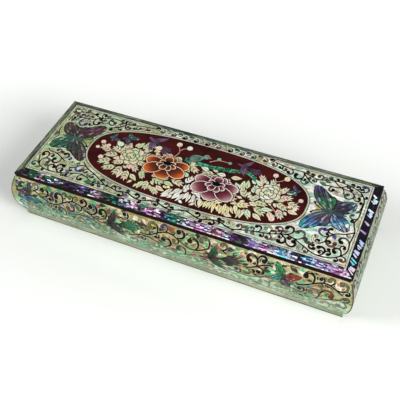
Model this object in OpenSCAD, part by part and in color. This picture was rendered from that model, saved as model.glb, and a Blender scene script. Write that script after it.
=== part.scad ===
// Lacquered brush box: a mitred wooden box with swelling sides on a low plinth,
// faced with shell sheets, under a hinged lid with an oval medallion.
// The origin is the centre of the footprint, on the table. +X runs along the
// length, -Y is the front and +Z is up. All sizes are in millimetres.

/* [Overall] */
// Length of the lid at its outer edge
lid_l = 317; // [280:1:360]
// Width of the lid at its outer edge
lid_w = 110; // [95:0.5:130]
// Height of the plinth
plinth_h = 6.4; // [3:0.1:10]
// Height of the walls above the plinth
wall_h = 47.4; // [40:0.1:60]
// Gap between the rim of the walls and the closed lid
seam = 0.3; // [0.2:0.05:0.5]

/* [Walls] */
// Thickness of the walls, measured in from the edge of the lid
wall_t = 8; // [7:0.5:12]
// How far the walls swell out past the edge of the lid at half height
belly = 5.4; // [3:0.1:8]
// How far the rim and the foot of the walls sit inside the edge of the lid
rim_in = 0.4; // [0.2:0.1:1]
// Thickness of the shell sheets on the walls
pearl_t = 0.4; // [0.3:0.1:0.8]

/* [Plinth and floor] */
// How far the plinth sits inside the edge of the lid
plinth_in = 1; // [0.6:0.1:3]
// How far the plinth reaches in under the floor
plinth_ledge = 9; // [5:0.5:15]
// Thickness of the floor panel
floor_t = 4; // [3:0.5:6]

/* [Lid] */
// Height of the upright edge of the lid
lid_edge_h = 2.2; // [1.9:0.1:4]
// Width of the bevel, measured flat
bevel_run = 7.4; // [5:0.1:10]
// Height of the bevel
bevel_rise = 2.9; // [2.5:0.1:5]
// Thickness of the shell sheets on the lid, measured upright
sheet_t = 0.4; // [0.3:0.1:0.6]

/* [Medallion] */
// Length of the oval
oval_l = 213.4; // [180:0.2:230]
// Width of the oval
oval_w = 79.4; // [60:0.2:84]
// Fullness of the oval: 2 is an ellipse, and more is squarer
oval_power = 2.55; // [2:0.05:3]
// How far the middle of the oval lies left of the middle of the lid
oval_left = 3.2; // [0:0.1:5]
// How far the middle of the oval lies behind the middle of the lid
oval_back = 1.8; // [0:0.1:4]
// Width of the pale ring round the oval
ring_w = 1.2; // [0.6:0.1:2]

/* [Lining] */
// Thickness of the cards that line the walls
lining_t = 1.2; // [0.8:0.1:2]
// How far the wall lining stops below the rim
lining_drop = 1; // [0.5:0.1:3]
// Thickness of the lining on the floor
floor_lining_t = 1.5; // [1:0.1:3]
// Thickness of the liner under the lid
liner_t = 2; // [1.5:0.1:3]
// Gap all round between the lid's liner and the wall lining
liner_gap = 1; // [0.6:0.1:2]

/* [Hinges] */
// Distance from the middle of a hinge to the end of the lid
hinge_end = 58.5; // [40:0.5:90]
// Width of a hinge
hinge_w = 28; // [20:1:40]
// Thickness of a hinge leaf
leaf_t = 0.9; // [0.8:0.05:1.1]
// Distance of the leaf from the inner face of the back wall
leaf_edge = 1.2; // [0.8:0.1:2]
// Outside diameter of the hinge barrel
barrel_d = 2.6; // [2.4:0.1:3]
// Diameter of the hinge pin
pin_d = 1.4; // [1:0.1:1.5]
// Radial clearance of the pin in its knuckles
pin_gap = 0.05; // [0.02:0.01:0.1]
// Number of knuckles in a hinge
knuckles = 5; // [3:2:7]
// Gap between neighbouring knuckles
knuckle_gap = 0.2; // [0.1:0.05:0.4]
// Clearance round the barrel
barrel_gap = 0.15; // [0.1:0.05:0.3]
// Clearance round a leaf in its recess
leaf_gap = 0.1; // [0.05:0.05:0.3]
// How far the hinge axis sits inside the back edge of the lid
axis_in = 0.85; // [0.6:0.05:1.2]
// Slope of the back edges of the box and the lid, which meet when it is open
stop_angle = 50; // [46:1:55]

/* [Screws] */
// Distance of the screws from the middle of a hinge
screw_x = 8.4; // [5:0.1:9]
// Diameter of a screw
screw_d = 1.4; // [1.2:0.1:1.6]
// Diameter of a screw head
head_d = 2.6; // [2.2:0.1:2.8]
// Length of the screws in the back wall
wall_screw_l = 6; // [4:0.5:10]
// Length of the screws in the lid
lid_screw_l = 2.8; // [2.2:0.1:3]
// Clearance of the screws in their holes
screw_gap = 0.05; // [0.03:0.01:0.1]
// Width of the driver slot
slot_w = 0.4; // [0.3:0.05:0.6]
// Depth of the driver slot
slot_depth = 0.3; // [0.2:0.05:0.4]

/* [Hidden] */
$fn = 64;
// Cuts run this far past the faces that they open
over = 1;
// Points round the oval
oval_points = 96;

half_l = lid_l / 2;
half_w = lid_w / 2;
inner_l = half_l - wall_t;
inner_w = half_w - wall_t;
rim_z = plinth_h + wall_h;
lid_z = rim_z + seam;
edge_z = lid_z + lid_edge_h;
top_z = edge_z + bevel_rise;
field_l = half_l - bevel_run;
field_w = half_w - bevel_run;

// The walls swell in one arc through the foot, the belly and the rim
mid_z = plinth_h + wall_h / 2;
sagitta = belly + rim_in;
belly_r = (pow(wall_h / 2, 2) + pow(sagitta, 2)) / (2 * sagitta);
full_reach = wall_t + belly + over;

floor_z = plinth_h + floor_t;
well_z = floor_z + floor_lining_t;
lining_h = rim_z - lining_drop - well_z;
well_l = inner_l - lining_t;
well_w = inner_w - lining_t;

hinge_x = half_l - hinge_end;
axis_y = half_w - axis_in;
axis_z = rim_z + seam / 2;
barrel_r = barrel_d / 2;
pitch = hinge_w / knuckles;
leaf_y = inner_w + leaf_edge;
screw_y = (leaf_y + axis_y - barrel_r) / 2;
head_h = (head_d - screw_d) / 2;

WOOD = [0.24, 0.09, 0.07];
PEARL = [0.68, 0.68, 0.52];
PALE_PEARL = [0.80, 0.82, 0.72];
PLINTH = [0.62, 0.63, 0.53];
ABALONE = [0.45, 0.36, 0.50];
RED_LACQUER = [0.28, 0.06, 0.07];
VELVET = [0.36, 0.05, 0.09];
BRASS = [0.80, 0.62, 0.30];

// An outline in the upright plane across the box, drawn out along its length
module along_x(length) rotate([90, 0, 90]) linear_extrude(length, center = true) children();

// An outline in the upright plane along the box, drawn out across its width
module along_y(length) rotate([90, 0, 0]) linear_extrude(length, center = true) children();

// Turns a piece made for the front to another side
module to_right() rotate([0, 0, 90]) children();
module to_back() rotate([0, 0, 180]) children();
module to_left() rotate([0, 0, -90]) children();

// Plan of a mitred strip at the front: its inner edge and how deep it is
module mitred_plan(inner_run, inner_reach, depth) polygon([
    [-inner_run, -inner_reach],
    [inner_run, -inner_reach],
    [inner_run + depth, -inner_reach - depth],
    [-inner_run - depth, -inner_reach - depth]
]);

// Round bar whose surface is the swell of a front wall, less a sheet's thickness
module swell(inner_run, reach, less) translate([0, belly_r - belly - reach, mid_z]) rotate([0, 90, 0])
    cylinder(r = belly_r - less, h = 2 * (inner_run + full_reach), center = true);

module wall_block(inner_run, reach) translate([0, 0, plinth_h])
    linear_extrude(wall_h) mitred_plan(inner_run, reach - wall_t, full_reach);

module wall_core(inner_run, reach) intersection() {
    wall_block(inner_run, reach);
    swell(inner_run, reach, pearl_t);
}

module wall_skin(inner_run, reach) difference() {
    intersection() {
        wall_block(inner_run, reach);
        swell(inner_run, reach, 0);
    }
    swell(inner_run, reach, pearl_t);
}

// Slopes that let the lid lean back: it stops where the two meet
module box_slope() {
    depth = axis_in + belly + over;
    along_x(lid_l + 2 * (belly + over)) polygon([
        [axis_y, rim_z],
        [axis_y + depth, rim_z - depth * tan(stop_angle)],
        [axis_y + depth, rim_z + over],
        [axis_y, rim_z + over]
    ]);
}

module lid_slope() {
    depth = axis_in + over;
    along_x(lid_l + 2 * over) polygon([
        [axis_y, lid_z],
        [axis_y + depth, lid_z + depth * tan(stop_angle)],
        [axis_y + depth, lid_z - over],
        [axis_y, lid_z - over]
    ]);
}

module at_hinges() for (side = [-1, 1]) translate([side * hinge_x, 0, 0]) children();
module at_screws() for (side = [-1, 1]) translate([side * screw_x, screw_y, 0]) children();

// Room for one leaf and its barrel, between two heights for each
module hinge_recess(leaf_low, leaf_high, barrel_low, barrel_high) {
    width = hinge_w + 2 * leaf_gap;
    barrel_y = axis_y - barrel_r - barrel_gap;
    translate([-width / 2, leaf_y - leaf_gap, leaf_low])
        cube([width, axis_y - leaf_y + leaf_gap, leaf_high - leaf_low]);
    translate([-width / 2, barrel_y, barrel_low])
        cube([width, half_w + belly + over - barrel_y, barrel_high - barrel_low]);
}

module box_hinge_cuts() {
    box_slope();
    at_hinges() {
        hinge_recess(rim_z - leaf_t, rim_z + over, axis_z - barrel_r - barrel_gap, rim_z + over);
        at_screws() translate([0, 0, rim_z]) screw_hole(wall_screw_l);
    }
}

module lid_hinge_cuts() {
    lid_slope();
    at_hinges() {
        hinge_recess(lid_z - over, lid_z + leaf_t, lid_z - over, axis_z + barrel_r + barrel_gap);
        at_screws() translate([0, 0, lid_z]) mirror([0, 0, 1]) screw_hole(lid_screw_l);
    }
}

// Countersunk screw with its head at the origin, pointing down
module screw_form(length, gap) {
    translate([0, 0, -head_h]) cylinder(d1 = screw_d + 2 * gap, d2 = head_d + 2 * gap, h = head_h);
    translate([0, 0, -length - gap]) cylinder(d = screw_d + 2 * gap, h = length + gap - head_h);
}

module screw_hole(length) screw_form(length, screw_gap);

module screw(length) difference() {
    screw_form(length, 0);
    translate([-head_d, -slot_w / 2, -slot_depth]) cube([2 * head_d, slot_w, slot_depth + over]);
}

// Round bar on the hinge axis, from one place along the hinge to another
module axis_bar(radius, from, to) translate([from, axis_y, axis_z]) rotate([0, 90, 0])
    cylinder(r = radius, h = to - from);

module leaf(low, first_knuckle) difference() {
    union() {
        difference() {
            translate([-hinge_w / 2, leaf_y, low]) cube([hinge_w, axis_y - leaf_y, leaf_t]);
            for (i = [1 - first_knuckle : 2 : knuckles - 1])
                axis_bar(barrel_r + barrel_gap, i * pitch - (hinge_w + knuckle_gap) / 2,
                    (i + 1) * pitch - (hinge_w - knuckle_gap) / 2);
        }
        for (i = [first_knuckle : 2 : knuckles - 1])
            axis_bar(barrel_r, i * pitch - (hinge_w - knuckle_gap) / 2,
                (i + 1) * pitch - (hinge_w + knuckle_gap) / 2);
    }
    axis_bar(pin_d / 2 + pin_gap, -hinge_w / 2 - over, hinge_w / 2 + over);
}

module body_leaf() color(BRASS) difference() {
    leaf(rim_z - leaf_t, 0);
    at_screws() translate([0, 0, rim_z]) screw_hole(wall_screw_l);
}

module lid_leaf() color(BRASS) difference() {
    leaf(lid_z, 1);
    at_screws() translate([0, 0, lid_z]) mirror([0, 0, 1]) screw_hole(lid_screw_l);
}

module pin() color(BRASS) axis_bar(pin_d / 2, (knuckle_gap - hinge_w) / 2, (hinge_w - knuckle_gap) / 2);

// Walls of the box

module front_wall() color(WOOD) wall_core(inner_l, half_w);

module back_wall() color(WOOD) difference() {
    to_back() wall_core(inner_l, half_w);
    box_hinge_cuts();
}

module left_wall() color(WOOD) difference() {
    to_left() wall_core(inner_w, half_l);
    box_slope();
}

module right_wall() color(WOOD) difference() {
    to_right() wall_core(inner_w, half_l);
    box_slope();
}

// Shell sheets on the walls

module front_pearl() color(PEARL) wall_skin(inner_l, half_w);

module back_pearl() color(PEARL) difference() {
    to_back() wall_skin(inner_l, half_w);
    box_hinge_cuts();
}

module left_pearl() color(PEARL) difference() {
    to_left() wall_skin(inner_w, half_l);
    box_slope();
}

module right_pearl() color(PEARL) difference() {
    to_right() wall_skin(inner_w, half_l);
    box_slope();
}

// Plinth, floor and lining

module plinth_strip(inner_run, inner_reach) color(PLINTH) linear_extrude(plinth_h)
    mitred_plan(inner_run - plinth_ledge, inner_reach - plinth_ledge, wall_t + plinth_ledge - plinth_in);

module plinth_front() plinth_strip(inner_l, inner_w);
module plinth_back() to_back() plinth_strip(inner_l, inner_w);
module plinth_left() to_left() plinth_strip(inner_w, inner_l);
module plinth_right() to_right() plinth_strip(inner_w, inner_l);

module flat_board(half_length, half_width, low, thickness)
    translate([-half_length, -half_width, low]) cube([2 * half_length, 2 * half_width, thickness]);

module floor_panel() color(WOOD) flat_board(inner_l, inner_w, plinth_h, floor_t);
module floor_lining() color(VELVET) flat_board(inner_l, inner_w, floor_z, floor_lining_t);

module long_card() color(VELVET) translate([-inner_l, -inner_w, well_z]) cube([2 * inner_l, lining_t, lining_h]);
module end_card() color(VELVET) translate([-well_w, -inner_l, well_z]) cube([2 * well_w, lining_t, lining_h]);

module front_lining() long_card();
module back_lining() to_back() long_card();
module left_lining() to_left() end_card();
module right_lining() to_right() end_card();

// Hinges

module left_hinge_body_leaf() translate([-hinge_x, 0, 0]) body_leaf();
module right_hinge_body_leaf() translate([hinge_x, 0, 0]) body_leaf();
module left_hinge_lid_leaf() translate([-hinge_x, 0, 0]) lid_leaf();
module right_hinge_lid_leaf() translate([hinge_x, 0, 0]) lid_leaf();
module left_hinge_pin() translate([-hinge_x, 0, 0]) pin();
module right_hinge_pin() translate([hinge_x, 0, 0]) pin();
module body_leaf_screws() color(BRASS) at_hinges() at_screws() translate([0, 0, rim_z]) screw(wall_screw_l);
module lid_leaf_screws() color(BRASS) at_hinges() at_screws()
    translate([0, 0, lid_z]) mirror([0, 0, 1]) screw(lid_screw_l);

// Lid

// Half-widths at the edge and on the field give the bevelled outline of the core
module core_outline(edge, field) polygon([
    [-edge, lid_z],
    [edge, lid_z],
    [edge, edge_z - sheet_t],
    [field, top_z - sheet_t],
    [-field, top_z - sheet_t],
    [-edge, edge_z - sheet_t]
]);

module lid_panel() color(WOOD) difference() {
    intersection() {
        along_x(lid_l) core_outline(half_w, field_w);
        along_y(lid_w) core_outline(half_l, field_l);
    }
    lid_hinge_cuts();
}

module bevel_strip(run, edge, field) color(ABALONE) intersection() {
    along_x(2 * (run + bevel_run)) polygon([
        [-edge, edge_z - sheet_t],
        [-edge, edge_z],
        [-field, top_z],
        [-field, top_z - sheet_t]
    ]);
    translate([0, 0, lid_z]) linear_extrude(top_z - lid_z + over) mitred_plan(run, field, bevel_run);
}

module bevel_front() bevel_strip(field_l, half_w, field_w);
module bevel_back() to_back() bevel_strip(field_l, half_w, field_w);
module bevel_left() to_left() bevel_strip(field_w, half_l, field_l);
module bevel_right() to_right() bevel_strip(field_w, half_l, field_l);

// A rounded oval drawn by formula, drawn in by a margin
function rounded(share) = sign(share) * pow(abs(share), 2 / oval_power);
module oval(margin) translate([-oval_left, oval_back]) polygon([
    for (i = [0 : oval_points - 1])
        [
            (oval_l / 2 - margin) * rounded(cos(i * 360 / oval_points)),
            (oval_w / 2 - margin) * rounded(sin(i * 360 / oval_points))
        ]
]);

module top_sheet() translate([0, 0, top_z - sheet_t]) linear_extrude(sheet_t) children();

module lid_field() color(PALE_PEARL) top_sheet() difference() {
    square([2 * field_l, 2 * field_w], center = true);
    oval(0);
}

module medallion_ring() color(PALE_PEARL) top_sheet() difference() {
    oval(0);
    oval(ring_w);
}

module medallion() color(RED_LACQUER) top_sheet() oval(ring_w);

module lid_liner() color(VELVET) flat_board(well_l - liner_gap, well_w - liner_gap, lid_z - liner_t, liner_t);

front_wall();
back_wall();
left_wall();
right_wall();
front_pearl();
back_pearl();
left_pearl();
right_pearl();
plinth_front();
plinth_back();
plinth_left();
plinth_right();
floor_panel();
floor_lining();
front_lining();
back_lining();
left_lining();
right_lining();
left_hinge_body_leaf();
right_hinge_body_leaf();
left_hinge_pin();
right_hinge_pin();
body_leaf_screws();
lid_panel();
lid_field();
medallion();
medallion_ring();
bevel_front();
bevel_back();
bevel_left();
bevel_right();
lid_liner();
left_hinge_lid_leaf();
right_hinge_lid_leaf();
lid_leaf_screws();
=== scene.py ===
"""Looks of the lacquer brush box: shell inlay, red lacquer, velvet and brass around the CAD frame.

Patterns are drawn in millimetres on a flat chart of each face and then laid on that face,
so a chart's (u, v) is the lid's (x, y), or the way along a wall and up its swell.
"""
import random
from math import asin, atan, atan2, copysign, cos, dist, exp, hypot, pi, radians, sin, sqrt, tau

import bmesh
import bpy
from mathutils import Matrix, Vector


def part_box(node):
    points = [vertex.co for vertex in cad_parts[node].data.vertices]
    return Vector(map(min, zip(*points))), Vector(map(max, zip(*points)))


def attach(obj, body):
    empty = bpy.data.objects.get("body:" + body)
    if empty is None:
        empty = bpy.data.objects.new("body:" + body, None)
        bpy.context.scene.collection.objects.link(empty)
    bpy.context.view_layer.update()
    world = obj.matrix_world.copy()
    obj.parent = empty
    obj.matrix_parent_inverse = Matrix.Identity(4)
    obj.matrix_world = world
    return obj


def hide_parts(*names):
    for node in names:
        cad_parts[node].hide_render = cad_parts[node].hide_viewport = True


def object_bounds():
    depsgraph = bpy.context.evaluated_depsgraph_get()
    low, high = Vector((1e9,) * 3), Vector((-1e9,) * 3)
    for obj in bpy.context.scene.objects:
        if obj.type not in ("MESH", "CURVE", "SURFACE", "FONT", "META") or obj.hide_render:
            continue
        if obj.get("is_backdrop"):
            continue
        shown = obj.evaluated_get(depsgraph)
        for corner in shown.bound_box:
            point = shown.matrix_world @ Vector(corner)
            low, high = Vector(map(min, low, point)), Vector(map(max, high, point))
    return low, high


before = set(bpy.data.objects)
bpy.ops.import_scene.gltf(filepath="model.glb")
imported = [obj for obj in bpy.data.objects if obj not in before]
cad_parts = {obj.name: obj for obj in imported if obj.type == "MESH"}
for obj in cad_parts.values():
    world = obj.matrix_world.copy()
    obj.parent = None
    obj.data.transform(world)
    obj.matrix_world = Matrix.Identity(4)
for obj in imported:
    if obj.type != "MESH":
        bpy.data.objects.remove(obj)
cad_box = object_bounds()

MM = 0.001


def box_mm(node):
    low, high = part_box(node)
    return [c / MM for c in low], [c / MM for c in high]


# Sizes from the frame, in millimetres
HALF_L, HALF_W = box_mm("lid_panel")[1][:2]
FIELD_LOW, (FIELD_L, FIELD_W, TOP_Z) = box_mm("lid_field")
SHEET_T = TOP_Z - FIELD_LOW[2]
BEVEL_RUN = HALF_W - FIELD_W
EDGE_Z = box_mm("bevel_front")[0][2] + SHEET_T
OVAL_LOW, OVAL_HIGH = box_mm("medallion_ring")
OVAL_X, OVAL_Y = ((low + high) / 2 for low, high in zip(OVAL_LOW[:2], OVAL_HIGH))
OVAL_A, OVAL_B = ((high - low) / 2 for low, high in zip(OVAL_LOW[:2], OVAL_HIGH))
OVAL_POWER = 2.55
WALL_LOW, WALL_HIGH = box_mm("front_pearl")
FOOT_Z, RIM_Z = WALL_LOW[2], WALL_HIGH[2]
MID_Z = (FOOT_Z + RIM_Z) / 2
BELLY = -WALL_LOW[1] - HALF_W
RIM_IN = 0.4
SAGITTA = BELLY + RIM_IN
SWELL_R = ((RIM_Z - FOOT_Z) ** 2 / 4 + SAGITTA ** 2) / (2 * SAGITTA)
SWELL_HALF = SWELL_R * asin((RIM_Z - FOOT_Z) / 2 / SWELL_R)

# How inlay is built, in millimetres
INLAY_LIFT = 0.04
INLAY_LAYER = 0.012
INLAY_THICK = 0.08


# Colours

def rgb(word):
    """A colour written as red, green and blue in hex, as the linear values that shaders take."""
    def linear(c):
        return c / 12.92 if c <= 0.04045 else ((c + 0.055) / 1.055) ** 2.4
    return (*(linear(int(word[i:i + 2], 16) / 255) for i in (0, 2, 4)), 1.0)


def shades(words):
    return [rgb(word) for word in words.split()]


def palettes(*lists):
    return [shades(words) for words in lists]


def grey(level):
    return (level, level, level, 1.0)


def mix(a, b, share):
    return tuple(p + (q - p) * share for p, q in zip(a, b))


INK = rgb("262218")
BROWN = rgb("321e18")
CREAM = rgb("e6dab8")
MINT = rgb("c8ecce")
PINK = rgb("eccaba")
YELLOW = rgb("f6eab0")
LEAF = rgb("cadaa8")
PALE = rgb("f6f6ec")
WHITE = rgb("f2f0f0")
CYAN = rgb("5cced6")
LILAC = rgb("cebade")


# Materials

# Where most of a noise's values lie
NOISE_LOW, NOISE_HIGH = 0.3, 0.7
# A mix node's sockets for colours
MIX_A, MIX_B, MIX_OUT = 6, 7, 2


class Nodes:
    """The nodes of a material or a world, of which end is the one that shows.

    A socket is given a value, or the output that feeds it.
    """
    def __init__(self, owner, end="Principled BSDF"):
        owner.use_nodes = True
        self.owner, self.tree = owner, owner.node_tree
        self.end = self.tree.nodes[end]

    def feed(self, node, inputs):
        for key, value in inputs.items():
            if isinstance(value, bpy.types.NodeSocket):
                self.tree.links.new(value, node.inputs[key])
            else:
                node.inputs[key].default_value = value

    def show(self, inputs):
        self.feed(self.end, inputs)
        return self.owner

    def add(self, kind, output, inputs, **settings):
        """A new node, as one of its outputs."""
        node = self.tree.nodes.new("ShaderNode" + kind)
        for key, value in settings.items():
            setattr(node, key, value)
        self.feed(node, inputs)
        return node.outputs[output]

    def place(self, scale=(1, 1, 1)):
        """Object coordinates, stretched by a scale."""
        return self.add("Mapping", "Vector", {"Vector": self.add("TexCoord", "Object", {}), "Scale": scale})

    def noise(self, vector, scale, detail=3.0, distortion=0.0):
        return self.add("TexNoise", "Fac", {
            "Vector": vector, "Scale": scale, "Detail": detail, "Distortion": distortion})

    def cells(self, vector, scale, blur):
        """A random value for each of a crowd of uneven cells."""
        warp = self.add("TexNoise", "Color", {"Vector": vector, "Scale": scale * 1.6})
        spot = self.add("MixRGB", "Color", {"Fac": blur / scale, "Color1": vector, "Color2": warp},
                        blend_type="ADD")
        colour = self.add("TexVoronoi", "Color", {"Vector": spot, "Scale": scale})
        return self.add("SeparateColor", "Red", {"Color": colour})

    def ramp(self, value, colours, low=NOISE_LOW, high=NOISE_HIGH):
        """A ramp through evenly spaced colours, from a low value to a high one."""
        output = self.add("ValToRGB", "Color", {"Fac": value})
        elements = output.node.color_ramp.elements
        while len(elements) < len(colours):
            elements.new(0.5)
        step = (high - low) / (len(colours) - 1)
        for i, (element, colour) in enumerate(zip(elements, colours)):
            element.position = low + i * step
            element.color = colour
        return output

    def shade(self, value, dark, light, *ends):
        return self.ramp(value, [grey(dark), grey(light)], *ends)

    def mix(self, kind, share, a, b):
        return self.add("Mix", MIX_OUT, {"Factor": share, MIX_A: a, MIX_B: b},
                        data_type="RGBA", blend_type=kind, clamp_result=True)

    def times(self, a, b):
        return self.mix("MULTIPLY", 1.0, a, b)

    def tint(self):
        """The colour that each piece of inlay has of its own."""
        return self.add("VertexColor", "Color", {}, layer_name="tint")

    def bump(self, height, strength, distance):
        return self.add("Bump", "Normal", {"Height": height, "Strength": strength, "Distance": distance})


def shell_material(name, hues, patch, stretch=(1, 1, 1), streak=0.3, tinted=0.0, cells=0.0, sparkle=0.0,
                   zone=None, roughness=0.3, metallic=0.03, coat=0.05, gloss=0.12):
    """Shell under clear lacquer: drifting hues, fine growth lines and, if tinted, each piece's own colour.

    cells is how much the hue goes by separate patches, and sparkle how much small chips differ in brightness;
    zone is (other hues, the axis and the two places between which they take over).
    """
    nodes = Nodes(bpy.data.materials.new(name))
    place = nodes.place(stretch)
    value = nodes.noise(place, patch, 3.0, 1.4)
    if cells:
        patches = nodes.cells(place, patch * 1.5, 0.7)
        patches = nodes.add("MapRange", "Result", {"Value": patches, "To Min": 0.28, "To Max": 0.72})
        value = nodes.add("Mix", "Result", {"Factor": cells, "A": value, "B": patches})
    hue = nodes.ramp(value, shades(hues))
    if zone:
        other, axis, start, end = zone
        wander = 0.6 * (end - start)
        drift = nodes.noise(place, patch * 1.3, 2.0)
        spot = nodes.add("SeparateXYZ", axis, {"Vector": nodes.place()})
        spot = nodes.add("Math", 0, {0: drift, 1: wander, 2: spot}, operation="MULTIPLY_ADD")
        ends = {"From Min": start + wander / 2, "From Max": end + wander / 2}
        share = nodes.add("MapRange", "Result", {"Value": spot, **ends}, interpolation_type="SMOOTHSTEP")
        hue = nodes.mix("MIX", share, hue, nodes.ramp(value, shades(other)))
    if tinted:
        hue = nodes.mix("MIX", tinted, hue, nodes.tint())
    lines = nodes.noise(place, patch * 9, 4.0, 2.2)
    colour = nodes.times(hue, nodes.shade(lines, 1.0 - streak, 1.0 + 0.5 * streak))
    if sparkle:
        chips = nodes.cells(place, 380, 0.5)
        colour = nodes.times(colour, nodes.shade(chips, 1.0 - sparkle, 1.0 + 0.6 * sparkle, 0.1, 0.9))
    return nodes.show({
        "Base Color": colour, "Normal": nodes.bump(lines, 0.12, 0.0004), "Roughness": roughness,
        "Metallic": metallic, "Specular IOR Level": gloss, "Coat Weight": coat, "Coat Roughness": 0.06})


def lacquer_material(name, hues):
    """Brushed lacquer: a deep colour with slow cloudy variation under a thin clear gloss."""
    nodes = Nodes(bpy.data.materials.new(name))
    place = nodes.place()
    cloud = nodes.noise(place, 60, 4.0, 0.6)
    brushed = nodes.noise(place, 900, 2.0)
    return nodes.show({
        "Base Color": nodes.ramp(cloud, shades(hues), 0.3, 0.72), "Normal": nodes.bump(brushed, 0.03, 0.0002),
        "Roughness": 0.2, "Specular IOR Level": 0.025, "Coat Weight": 0.025, "Coat Roughness": 0.05})


def velvet_material():
    nodes = Nodes(bpy.data.materials.new("wine_velvet"))
    place = nodes.place()
    nap = nodes.ramp(nodes.noise(place, 45, 3.0, 0.8), shades("5c0b19 7a1223"))
    pile = nodes.noise(place, 2600, 2.0)
    return nodes.show({
        "Base Color": nodes.times(nap, nodes.shade(pile, 0.72, 1.0)), "Normal": nodes.bump(pile, 0.5, 0.0004),
        "Roughness": 0.95, "Specular IOR Level": 0.15, "Sheen Weight": 0.6, "Sheen Roughness": 0.35,
        "Sheen Tint": rgb("d67882")})


def brass_material():
    nodes = Nodes(bpy.data.materials.new("satin_brass"))
    brushed = nodes.noise(nodes.place((40, 900, 900)), 3, 3.0)
    return nodes.show({"Base Color": nodes.ramp(brushed, shades("b0863e deb868")),
                       "Roughness": nodes.shade(brushed, 0.2, 0.36), "Metallic": 1.0})


def ink_material():
    nodes = Nodes(bpy.data.materials.new("dark_lacquer_line"))
    cloud = nodes.shade(nodes.noise(nodes.place(), 300, 3.0), 0.7, 1.0)
    return nodes.show({"Base Color": nodes.times(nodes.tint(), cloud), "Roughness": 0.3,
                       "Specular IOR Level": 0.02})


# The field's hues turn paler from its middle to its right end: partly the shell's own drift, partly a painted
# reflection of the light there
FIELD_SHELL = shell_material(
    "pale_field_shell", "7a9860 b2c68e 92c292 d0dab2 a2a86c 7aa272", 55, (0.8, 1.2, 1), 0.25, cells=0.6,
    sparkle=0.3, zone=("9cac92 eceade 88c6a8 f4f5ee aea876 a4b084", "X", -0.1, 0.0))
RING_SHELL = shell_material("ring_shell", "cec8b0 b0bea4 d6c4bc", 90, streak=0.2)
WALL_SHELL = shell_material(
    "wall_shell", "8cb88c d2f0ce 7ae6b8 f8fcee 96cca8 d6ecba 78debc e6e4ce", 60, (0.45, 1, 1.5), 0.4,
    cells=0.7, sparkle=0.3,
    zone=("888c54 c4bc88 9ea868 d2c298 569e66 dad0aa b49668 5ca874", "Z", 0.0195, 0.0335))
# The end walls' shell is paler and lower in contrast than the long walls': partly its own look, partly a
# painted sheen where light grazes these walls
END_SHELL = shell_material("end_wall_shell", "7c866a 969c82 84927a 9e9e88", 60, (1, 0.5, 1.5), cells=0.5)
PLINTH_SHELL = shell_material(
    "plinth_shell", "768266 bcbea0 949a7e b0b092", 60, (0.5, 0.5, 2.5), 0.35, cells=0.5,
    zone=("3c3a2c 54503e", "Z", 0.0013, 0.0008))
BEVEL_SHELL = shell_material("bevel_ground", "0e0a0c 181214 0e0e0e", 120, gloss=0.03, coat=0.0)
TINTED_SHELL = shell_material(
    "tinted_shell", "82c8b0 e2d6c8 be96be", 160, tinted=0.96, sparkle=0.32, roughness=0.25, gloss=0.1,
    coat=0.0)
PETAL_SHELL = shell_material(
    "petal_shell", "82c8b0 e2d6c8 be96be", 160, streak=0.15, tinted=0.992, sparkle=0.1, roughness=0.25,
    gloss=0.08, coat=0.0)
STRIP_SHELL = shell_material(
    "cut_strip_shell", "78b4be dcc8dc aa78b4", 160, tinted=0.985, sparkle=0.2, roughness=0.45, metallic=0.05,
    gloss=0.02, coat=0.0)
RED_LACQUER = lacquer_material("red_lacquer", "240808 4a1312")
LIP_LACQUER = lacquer_material("dark_lip_lacquer", "180604 2a0e09")
INK_LACQUER = ink_material()
VELVET = velvet_material()
BRASS = brass_material()

# The first word that is in a node's name gives its material
CAD_MATERIALS = {
    "left_pearl": END_SHELL, "right_pearl": END_SHELL, "pearl": WALL_SHELL, "wall": LIP_LACQUER,
    "panel": LIP_LACQUER, "plinth": PLINTH_SHELL, "field": FIELD_SHELL, "ring": RING_SHELL,
    "medallion": RED_LACQUER, "bevel": BEVEL_SHELL, "hinge": BRASS, "screws": BRASS,
}
for node_name, node_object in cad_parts.items():
    for word, node_material in CAD_MATERIALS.items():
        if word in node_name:
            node_object.data.materials.clear()
            node_object.data.materials.append(node_material)
            break


# Charts: each turns a place on a face, with a lift off it, into a point in metres

def lid_top(u, v, lift):
    return (u * MM, v * MM, (TOP_Z + lift) * MM)


def turned(side, across, out, z):
    """A point on one side of the box, by its way across as seen from outside, its way out and its height."""
    x, y = {"front": (across, -out), "right": (out, across),
            "back": (-across, out), "left": (-out, -across)}[side]
    return (x * MM, y * MM, z * MM)


def side_sizes(side):
    """How far out the lid's edge is on a side, and half its length there."""
    return (HALF_W, HALF_L) if side in ("front", "back") else (HALF_L, HALF_W)


def wall_chart(side):
    reach = side_sizes(side)[0]

    def chart(u, v, lift):
        angle = v / SWELL_R
        out = reach + BELLY - SWELL_R + (SWELL_R + lift) * cos(angle)
        return turned(side, u, out, MID_Z + (SWELL_R + lift) * sin(angle))
    return chart


def bevel_chart(side):
    reach = side_sizes(side)[0]

    def chart(u, v, lift):
        return turned(side, u, reach - v, EDGE_Z + v / BEVEL_RUN * (TOP_Z - EDGE_Z) + lift)
    return chart


# Inlay: thin pieces that lie on a chart, gathered into one mesh

def add_object(name, data):
    item = bpy.data.objects.new(name, data)
    bpy.context.scene.collection.objects.link(item)
    return item


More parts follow.
